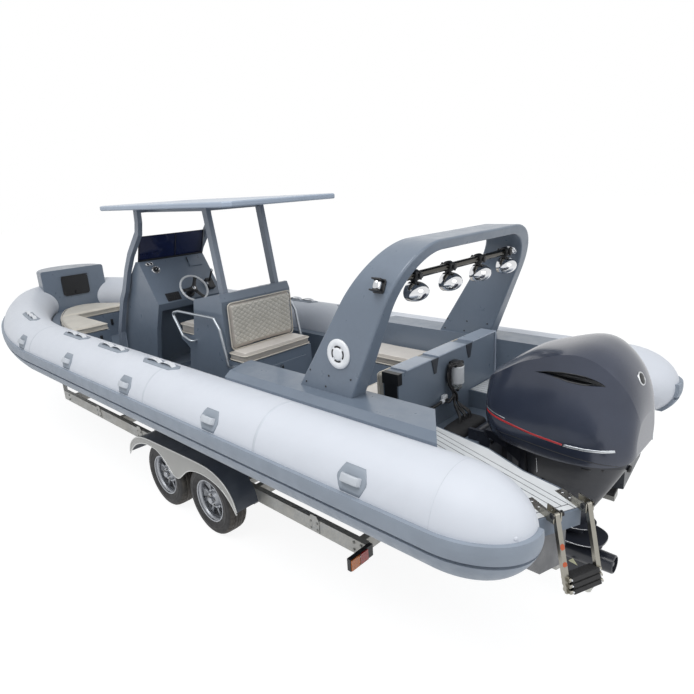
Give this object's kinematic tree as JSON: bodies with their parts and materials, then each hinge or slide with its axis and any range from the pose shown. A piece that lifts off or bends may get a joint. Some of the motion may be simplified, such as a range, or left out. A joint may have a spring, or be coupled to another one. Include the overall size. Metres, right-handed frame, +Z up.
{
  "type": "rigid inflatable boat on trailer",
  "caption": "Rigid inflatable boat with centre console, T-top, aft arch and outboard motor, parked on a tandem axle road trailer with a jockey wheel.",
  "frame": {"origin": "on the ground under the middle of the bounding box", "axes": "+X to the bow, +Y to port, +Z up"},
  "size_m": [10.3154, 3.058, 2.885],
  "materials": {
    "tube_fabric": "semi-matt coated fabric",
    "strake_rubber": "matt",
    "handle_rubber": "matt",
    "hull_gelcoat": "gloss gelcoat",
    "deck_gelcoat": "satin gelcoat",
    "platform_foam": "planked foam",
    "black_plastic": "matt",
    "helm_black": "grained",
    "cushion": "marine vinyl",
    "tinted_screen": "clear, tinted",
    "hatch_white": "satin",
    "stainless": "polished",
    "top_gelcoat": "gloss gelcoat",
    "top_frame": "gloss",
    "chrome_lamps": "polished",
    "hose_rubber": "matt",
    "motor_paint": "gloss",
    "cowl_gloss": "gloss",
    "galvanised": "dull zinc",
    "pad_rubber": "matt",
    "mudguard": "dull",
    "red_lens": "clear gloss",
    "tyre_black": "matt",
    "wheel_silver": "painted silver"
  },
  "bodies": {
    "boat_and_trailer": {"aft_cushions": "cushion", "aft_seat": "deck_gelcoat", "arch": "deck_gelcoat", "axles": "galvanised", "bench_cushions": "cushion", "bow_cushions": "cushion", "bow_locker": "deck_gelcoat", "bow_seats": "deck_gelcoat", "bow_stop": "pad_rubber", "bunk_pads": "pad_rubber", "cockpit_liner": "deck_gelcoat", "console": "deck_gelcoat", "coupling": "galvanised", "dash_fittings": "black_plastic", "fuel_filter": "black_plastic", "fuel_hoses": "hose_rubber", "grab_rails": "stainless", "helm_cushions": "cushion", "helm_seat": "deck_gelcoat", "hull": "hull_gelcoat", "jockey_post": "galvanised", "ladder_bracket": "stainless", "lamp_bar": "stainless", "motor_clamp": "motor_paint", "mudguards": "mudguard", "rub_strakes": "strake_rubber", "side_decks": "deck_gelcoat", "swim_platforms": "platform_foam", "tail_lamp_housings": "black_plastic", "tail_lamp_lenses": "red_lens", "trailer_frame": "galvanised", "ttop_frame": "top_frame", "ttop_roof": "top_gelcoat", "tube_collar": "tube_fabric", "tube_handles": "handle_rubber", "winch": "galvanised", "winch_post": "galvanised", "windscreen": "tinted_screen", "work_lamps": "chrome_lamps"},
    "rear_wheel_port": {"tyre_rear_port": "tyre_black", "rim_rear_port": "wheel_silver"},
    "rear_wheel_starboard": {"tyre_rear_starboard": "tyre_black", "rim_rear_starboard": "wheel_silver"},
    "front_wheel_port": {"tyre_front_port": "tyre_black", "rim_front_port": "wheel_silver"},
    "front_wheel_starboard": {"tyre_front_starboard": "tyre_black", "rim_front_starboard": "wheel_silver"},
    "helm": {"steering_wheel": "helm_black"},
    "motor_bracket": {"motor_swivel": "motor_paint"},
    "motor": {"motor_leg": "motor_paint", "motor_cowl": "cowl_gloss"},
    "bow_locker_hatch": {"bow_hatch": "black_plastic"},
    "seat_locker_hatch": {"seat_hatch": "hatch_white"},
    "ladder_upper": {"ladder_top": "stainless"},
    "ladder_mid": {"ladder_middle": "stainless"},
    "ladder_lower": {"ladder_low": "stainless"},
    "jockey_swivel": {"jockey_fork": "galvanised"},
    "jockey_roller": {"jockey_wheel": "pad_rubber"}
  },
  "joints": [
    {"name": "rear_wheel_port_turn", "type": "hinge", "parent": "boat_and_trailer", "child": "rear_wheel_port", "pos_m": [-1.964, 1.025, 0.325], "axis": [0, 1, 0], "continuous": true},
    {"name": "rear_wheel_starboard_turn", "type": "hinge", "parent": "boat_and_trailer", "child": "rear_wheel_starboard", "pos_m": [-1.964, -1.025, 0.325], "axis": [0, 1, 0], "continuous": true},
    {"name": "front_wheel_port_turn", "type": "hinge", "parent": "boat_and_trailer", "child": "front_wheel_port", "pos_m": [-1.194, 1.025, 0.325], "axis": [0, 1, 0], "continuous": true},
    {"name": "front_wheel_starboard_turn", "type": "hinge", "parent": "boat_and_trailer", "child": "front_wheel_starboard", "pos_m": [-1.194, -1.025, 0.325], "axis": [0, 1, 0], "continuous": true},
    {"name": "helm_turn", "type": "hinge", "parent": "boat_and_trailer", "child": "helm", "pos_m": [-0.34113, 0, 1.925], "axis": [-0.818, 0, 0.5753], "range_deg": [-540, 540]},
    {"name": "motor_tilt", "type": "hinge", "parent": "boat_and_trailer", "child": "motor_bracket", "pos_m": [-4.084, 0, 1.195], "axis": [0, 1, 0], "range_deg": [0, 40]},
    {"name": "motor_steer", "type": "hinge", "parent": "motor_bracket", "child": "motor", "pos_m": [-4.384, 0, 1], "axis": [0, 0, 1], "range_deg": [-30, 30]},
    {"name": "bow_hatch_open", "type": "hinge", "parent": "boat_and_trailer", "child": "bow_locker_hatch", "pos_m": [3.0777, 0, 1.85], "axis": [0, 1, 0], "range_deg": [0, 90]},
    {"name": "seat_hatch_open", "type": "hinge", "parent": "boat_and_trailer", "child": "seat_locker_hatch", "pos_m": [-1.7843, 0, 1.01], "axis": [0, -1, 0], "range_deg": [0, 90]},
    {"name": "ladder_fold", "type": "hinge", "parent": "boat_and_trailer", "child": "ladder_upper", "pos_m": [-5.0092, 0.74883, 1.245], "axis": [0.4067, 0.9135, 0], "range_deg": [0, 160]},
    {"name": "ladder_mid_slide", "type": "slide", "parent": "ladder_upper", "child": "ladder_mid", "axis": [-0.2364, 0.1053, -0.9659], "range_m": [0, 0.27]},
    {"name": "ladder_lower_slide", "type": "slide", "parent": "ladder_mid", "child": "ladder_lower", "axis": [-0.2364, 0.1053, -0.9659], "range_m": [0, 0.27]},
    {"name": "jockey_swivel_turn", "type": "hinge", "parent": "boat_and_trailer", "child": "jockey_swivel", "pos_m": [4.686, 0.112, 0.25], "axis": [0, 0, 1], "continuous": true},
    {"name": "jockey_roll", "type": "hinge", "parent": "jockey_swivel", "child": "jockey_roller", "pos_m": [4.651, 0.112, 0.1], "axis": [0, 1, 0], "continuous": true}
  ]
}
